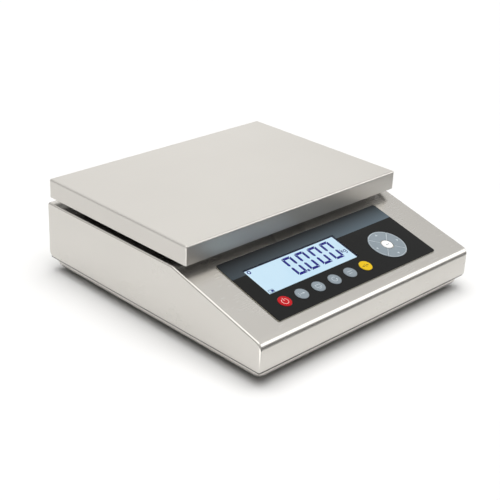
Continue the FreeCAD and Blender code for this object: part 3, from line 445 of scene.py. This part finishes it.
def zero(left):
    """A nought of six segments, with its left segments' centre line at a place."""
    right = left + DIGIT_RIGHT - DIGIT_LEFT
    shapes = []
    half = SEGMENT / 2
    for x, inward in ((left, 1), (right, -1)):
        for low, high, far in (
            (DIGIT_LOW, DIGIT_MIDDLE - MIDDLE_GAP / 2, -1),
            (DIGIT_MIDDLE + MIDDLE_GAP / 2, DIGIT_HIGH, 1),
        ):
            outer, inner = x - inward * half, x + inward * half
            if far < 0:
                shape = [
                    (outer, low - half + CORNER_GAP + half / 2), (inner, low + half + CORNER_GAP),
                    (inner, high - half), (x, high), (outer, high - half),
                ]
            else:
                shape = [
                    (outer, high + half - CORNER_GAP - half / 2), (inner, high - half - CORNER_GAP),
                    (inner, low + half), (x, low), (outer, low + half),
                ]
            shapes.append(shape)
    for y, inward in ((DIGIT_LOW, 1), (DIGIT_HIGH, -1)):
        outer, inner = y - inward * half, y + inward * half
        shapes.append([
            (left - half + CORNER_GAP + half / 2, outer), (right + half - CORNER_GAP - half / 2, outer),
            (right - half - CORNER_GAP, inner), (left + half + CORNER_GAP, inner),
        ])
    return shapes


def display():
    """The lit glass, with its figures, unit, small signs and dark border."""
    glass_low, glass_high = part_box("lcd_panel")
    nodes["lcd_panel"].material_slots[0].material = lcd_material(glass_low, glass_high)
    centre = top_centre("lcd_panel")
    dark = ink("lcd_segment", shade(12, 8, 122))
    x, y = POINT_PLACE
    half = POINT_SIZE / 2
    shapes = [rectangle(x - half, y - half, x + half, y + half)]
    for k in range(DIGITS):
        shapes += zero(DIGIT_LEFT + k * DIGIT_PITCH)
    plate("display_figures", shapes, centre, PRINT, dark, "base")
    tail = arc(4.6, -0.4, 1.5, 0, -140, 10)[1:]
    strokes = [
        ribbon([(0, 0), (0, 5.2)], UNIT_STEM),
        ribbon([(0, 1.5), (2.2, 3.5)], UNIT_LINE),
        ribbon([(0.8, 2.3), (2.4, 0)], UNIT_LINE),
        ring(4.6, 1.75, 1.45, UNIT_LINE),
        ribbon([(6.1, 3.4), (6.1, -0.4), *tail], UNIT_LINE),
    ]
    unit_x, unit_y = UNIT_PLACE
    shapes = [[(unit_x + px, unit_y + py) for px, py in piece] for stroke in strokes for piece in stroke]
    faint = ink("lcd_small_segment", shade(40, 42, 112))
    plate("display_unit", shapes, centre, PRINT, faint, "base")
    plate("display_zero_mark", ring(*ZERO_MARK), centre, PRINT, dark, "base")
    left, low, right, high = BATTERY
    case = ribbon(rectangle(*BATTERY), BATTERY_LINE, closed=True)
    plate("display_battery_case", case, centre, PRINT, faint, "base")
    charge = rectangle(left + 2.6, low + 0.6, right - 0.5, high - 0.9)
    plate("display_battery_charge", [charge], centre, PRINT, dark, "base")
    frame_print = ink("lcd_border", shade(52, 56, 84))
    wide, high = GLASS_REACH
    left, low, right, top = LIT
    strips = [
        rectangle(-wide, top, wide, high),
        rectangle(-wide, -high, wide, low),
        rectangle(-wide, low, left, top),
        rectangle(right, low, wide, top),
    ]
    plate("display_border", strips, centre, PRINT, frame_print, "base")


# Marks on the keys


# The marks' thickness, and the width of their lines, in millimetres
MARK = 0.03
LINE, POWER_LINE = 0.5, 0.38
ARROW_HEAD = 0.62
# The ring of four keys: the arrows' tips, the line near its rim, and the strips between its keys
ARROW_RIM, LINE_RIM, LINE_TURN = 17.2, 19.9, 42
DIVIDER_START, DIVIDER_END, DIVIDER_WIDTH, DIVIDER_HEIGHT = 7.4, 20.2, 0.6, 1.0


def arrow(x, y, turn, length, width, head):
    """An arrow whose tip is at a place and that points along a direction, in degrees."""
    angle = math.radians(turn)
    ahead = Vector((math.cos(angle), math.sin(angle)))
    aside = Vector((-ahead.y, ahead.x))
    tip = Vector((x, y))
    neck = tip - ahead * head
    tail = tip - ahead * length
    half = width / 2
    shapes = [[tip, neck + aside * head * ARROW_HEAD, neck - aside * head * ARROW_HEAD]]
    if length > head:
        shapes.append([neck + aside * half, tail + aside * half, tail - aside * half, neck - aside * half])
    return shapes


def key_marks():
    """A generic sign on each key, and the strips between the keys of the ring."""
    white = film("mark_white", shade(244, 240, 236), 0.35)
    pale = film("mark_pale", shade(196, 206, 212), 0.35)
    dark = film("mark_dark", shade(92, 72, 20), 0.35)
    grey = film("mark_grey", shade(140, 146, 152), 0.35)
    marks = {
        "key_power": (
            white, "key_white",
            ribbon(arc(0, -0.3, 3.5, 120, 420), POWER_LINE) + ribbon([(0, 0.5), (0, 4.3)], POWER_LINE),
        ),
        "key_one": (
            pale, "key_grey",
            ribbon([(-3.4, -2), (-3.4, 2)], LINE) + arrow(3.6, 0, 0, 5.6, LINE, 2),
        ),
        "key_two": (
            pale, "key_grey",
            ribbon(rectangle(-3, -1.4, 3, 2.2), LINE, closed=True) + ribbon([(-1.6, -3), (1.6, -3)], LINE),
        ),
        "key_three": (
            pale, "key_grey",
            ribbon(arc(0, 0, 2.9, 40, 330), LINE) + arrow(2.6, 0.6, 80, 1.8, LINE, 1.8),
        ),
        "key_four": (
            pale, "key_grey",
            ribbon([(-3.2, 1.4), (3.2, 1.4)], LINE) + ribbon([(-3.2, -1.4), (1.4, -1.4)], LINE),
        ),
        "key_tare": (
            dark, "key_yellow",
            ribbon([(0, -2.3), (0, 2.3)], LINE)
            + arrow(-1, 0, 0, 3.9, LINE, 1.9)
            + arrow(1, 0, 180, 3.9, LINE, 1.9),
        ),
        "key_enter": (
            grey, "key_white",
            ribbon([(2.2, 1.6), (2.2, -0.6), (-0.4, -0.6)], LINE) + arrow(-2.6, -0.6, 180, 1.9, LINE, 1.9),
        ),
    }
    for key, (material, slot, shapes) in marks.items():
        plate(f"{key}_mark", shapes, top_centre(key), MARK, material, key)
    middle = top_centre("key_enter")
    for key, turn in (("key_right", 0), ("key_up", 90), ("key_left", 180), ("key_down", 270)):
        x, y = ARROW_RIM * math.cos(math.radians(turn)), ARROW_RIM * math.sin(math.radians(turn))
        _, top = reach(key, out_slope)
        spot = middle + out_slope * (top - middle.dot(out_slope))
        edge = arc(0, 0, LINE_RIM, turn - LINE_TURN, turn + LINE_TURN)
        shapes = arrow(x, y, turn, 2.4, LINE, 2.4) + ribbon(edge, LINE)
        plate(f"{key}_mark", shapes, spot, MARK, pale, key)
    _, film_top = reach("keypad_circuit", out_slope)
    spot = middle + out_slope * (film_top - middle.dot(out_slope))
    strips = []
    for turn in (45, 135, 225, 315):
        ahead = Vector((math.cos(math.radians(turn)), math.sin(math.radians(turn))))
        strips += ribbon([ahead * DIVIDER_START, ahead * DIVIDER_END], DIVIDER_WIDTH)
    plate("ring_dividers", strips, spot, DIVIDER_HEIGHT, pale, "base")


# Materials of the CAD model's pieces


def finish_nodes():
    """Gives each CAD piece the material of its slot, and the steel sheets a grain of their own."""
    made = {
        "zinc_steel": plated("zinc_plate", (0.6, 0.61, 0.63)),
        "cast_aluminium": cast("cast_skin", (0.62, 0.62, 0.63)),
        "cell_aluminium": plated("cell_anodised", (0.7, 0.71, 0.72), 0.38),
        "black_rubber": moulded("rubber", shade(26, 26, 27), 0.62, 0.00006, 0.12),
        "black_plastic": moulded("plastic_black", shade(30, 30, 32), 0.42),
        "backlight": moulded("backlight_sheet", shade(238, 244, 248), 0.35),
        "window_clear": clear_material("window_sheet", (0.97, 0.98, 0.985, 1.0)),
        "key_grey": film("key_grey_film", shade(139, 150, 158)),
        "key_red": film("key_red_film", shade(188, 16, 26)),
        "key_yellow": film("key_yellow_film", shade(226, 188, 24)),
        "key_white": film("key_white_film", shade(248, 248, 248)),
        "circuit_film": film("circuit_sheet", shade(190, 186, 170)),
        "board_green": board_material(),
        "battery_grey": moulded("battery_shell", shade(92, 96, 102), 0.5, 0.00008),
        "brass": plated("brass_plate", (0.78, 0.6, 0.3), 0.3),
        "lead_grey": moulded("lead_grey_sheath", shade(128, 130, 132), 0.5),
        "lead_red": moulded("lead_red_sheath", shade(176, 26, 26), 0.5),
        "lead_black": moulded("lead_black_sheath", shade(24, 24, 25), 0.5),
        "vial": clear_material("vial_clear", (0.72, 0.92, 0.35, 1.0), 0.06, 0.03),
    }
    sheets = {
        "upper_housing": steel("housing_sheet", STAINLESS, 0.26, ALONG_X),
        "weighing_pan": steel("pan_sheet", STAINLESS, 0.39, ALONG_X),
        "bottom_tray": steel("tray_sheet", STAINLESS, 0.3, ALONG_Y),
        "stiffener_plate": steel("stiffener_sheet", STAINLESS, 0.3, ALONG_Y),
    }
    for name, node in nodes.items():
        for holder in node.material_slots:
            if name in sheets:
                holder.material = sheets[name]
            elif holder.material.name in made:
                holder.material = made[holder.material.name]
    _, split = reach("keypad_overlay", up_slope)
    nodes["keypad_overlay"].material_slots[0].material = overlay_material(split - BAND * MM)


# Studio


CAMERA_PLACE = Vector((-0.75703, -0.72589, 0.5295))
CAMERA_AIM = Vector((-0.03238, -0.02084, 0.05))
CAMERA_ROLL, CAMERA_LENS, CAMERA_SENSOR = 2.7, 79.89, 36
# Half of the floor's side, and how far its part that shows in the steel reaches from the scale
FLOOR = 6
NEAR_FRONT, NEAR_RIGHT = 0.075, 0.2
# The strip's size, its place from the housing's near lower corner, and its direction
STRIP_SIZE, STRIP_POWER = (0.12, 0.16), 0.08
STRIP_PLACE, STRIP_ALONG = Vector((-0.125, -0.05, MM)), Vector((-0.67, -0.74, 0))
# The mirrored sky's light: low on the walls, high on them and overhead, each from one height of a
# direction to another, where 1 is straight up
WALL_LOW, WALL_HIGH, TOP_LIGHT = 0.60, 0.77, 1.9
WALL_RISE, TOP_RISE = (0.38, 0.66), (0.80, 0.93)
# The share of it left near the horizon on one side, and where that dark part starts and ends
HORIZON_SHARE, HORIZON_SIDE = 0.35, (0.65, -0.76, 0.0)
HORIZON_RISE, HORIZON_SPREAD = (0.14, 0.30), (0.25, 0.7)
# Soft round panels in the mirrored sky: direction, inner and outer angle in degrees, and light
PANELS = (
    ((0.630, 0.676, 0.383), 4, 20, 0.56),
    ((0.764, -0.535, 0.358), 13, 19, 2.0),
)
# The sky over the matt surfaces
SKY_LOW, SKY_HIGH, SKY_RISE = 0.06, 3.6, (0.70, 0.96)
SKY_COLOUR = (1.0, 0.995, 0.985, 1.0)


def floor():
    """A plain pale floor. Only its part near the scale shows in the steel, as on a table by itself."""
    made = Surface("floor_paper", rough=0.9, specular=0.1)
    toned(made, (0.9, 0.9, 0.9), 0.004, 3)
    right, front = cad_high.x + NEAR_RIGHT, cad_low.y - NEAR_FRONT
    areas = {
        "floor_near": [rectangle(-FLOOR, front, right, FLOOR)],
        "floor_far": [rectangle(-FLOOR, -FLOOR, FLOOR, front), rectangle(right, front, FLOOR, FLOOR)],
    }
    for name, shapes in areas.items():
        mesh = bmesh.new()
        for shape in shapes:
            mesh.faces.new([mesh.verts.new((x, y, 0)) for x, y in shape])
        data = bpy.data.meshes.new(name)
        mesh.to_mesh(data)
        mesh.free()
        data.materials.append(made.material)
        plane = bpy.data.objects.new(name, data)
        plane.visible_glossy = name == "floor_near"
        bpy.context.scene.collection.objects.link(plane)


def low_strip():
    """A lit strip on the floor before the near corner, which shows only in reflections."""
    data = bpy.data.lights.new("low_strip", "AREA")
    data.shape = "RECTANGLE"
    data.size, data.size_y = STRIP_SIZE
    data.energy = STRIP_POWER
    light = bpy.data.objects.new("low_strip", data)
    corner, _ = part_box("upper_housing")
    light.location = Vector((corner.x, corner.y, 0)) + STRIP_PLACE
    light.rotation_mode = "QUATERNION"
    light.rotation_quaternion = STRIP_ALONG.to_track_quat("Y", "Z") @ Quaternion((0, 1, 0), math.pi)
    light.visible_camera = False
    light.visible_diffuse = False
    bpy.context.scene.collection.objects.link(light)


def world():
    """A white studio: one sky lights the matt surfaces, another is what the glossy ones mirror."""
    made = bpy.data.worlds.new("studio")
    graph = Graph(made)
    spot = graph.add("ShaderNodeTexCoord").outputs["Generated"]

    def facing(direction):
        """How much a ray of the sky points in a direction, from -1 to 1."""
        node = graph.add("ShaderNodeVectorMath", {"operation": "DOT_PRODUCT"})
        graph.feed(node.inputs[0], spot)
        node.inputs[1].default_value = Vector(direction).normalized()
        return node.outputs["Value"]

    def ramp(factor, low, high, ends):
        """A number that eases from low to high while the factor goes between the ends."""
        return graph.between(factor, low, high, *ends, smooth=True)

    def panel(direction, inner, outer, light):
        """A round patch of light that is full up to one angle and fades out at another."""
        ends = (math.cos(math.radians(outer)), math.cos(math.radians(inner)))
        return ramp(facing(direction), 0.0, light, ends)

    height = facing((0, 0, 1))
    light = ramp(height, WALL_LOW, WALL_HIGH, WALL_RISE)
    light = graph.math("ADD", light, ramp(height, 0.0, TOP_LIGHT - WALL_HIGH, TOP_RISE))
    for settings in PANELS:
        light = graph.math("ADD", light, panel(*settings))
    low_down = ramp(height, 1.0, 0.0, HORIZON_RISE)
    aside = ramp(facing(HORIZON_SIDE), 0.0, 1.0, HORIZON_SPREAD)
    dark = graph.math("MULTIPLY", graph.math("MULTIPLY", low_down, aside), 1 - HORIZON_SHARE)
    mirrored = graph.math("MULTIPLY", light, graph.math("SUBTRACT", 1.0, dark))
    overhead = ramp(height, SKY_LOW, SKY_HIGH, SKY_RISE)
    path = graph.add("ShaderNodeLightPath").outputs
    strength = graph.math("MULTIPLY", path["Is Glossy Ray"], mirrored)
    matt = graph.math("SUBTRACT", 1.0, path["Is Glossy Ray"])
    strength = graph.math("ADD", strength, graph.math("MULTIPLY", matt, overhead))
    shown = graph.math("MULTIPLY", path["Is Camera Ray"], graph.math("SUBTRACT", 1.0, strength))
    back = graph.tree.nodes["Background"]
    back.inputs["Color"].default_value = SKY_COLOUR
    graph.feed(back.inputs["Strength"], graph.math("ADD", strength, shown))
    bpy.context.scene.world = made


def camera():
    """A long lens from the front left, a little above the scale, tilted slightly."""
    data = bpy.data.cameras.new("camera")
    data.lens = CAMERA_LENS
    data.sensor_width = CAMERA_SENSOR
    made = bpy.data.objects.new("camera", data)
    made.location = CAMERA_PLACE
    made.rotation_mode = "QUATERNION"
    ahead = CAMERA_AIM - CAMERA_PLACE
    roll = Quaternion((0, 0, 1), math.radians(CAMERA_ROLL))
    made.rotation_quaternion = ahead.to_track_quat("-Z", "Y") @ roll
    bpy.context.scene.collection.objects.link(made)
    bpy.context.scene.camera = made


finish_nodes()
display()
key_marks()
floor()
world()
low_strip()
camera()
bpy.context.scene.view_settings.view_transform = "Standard"
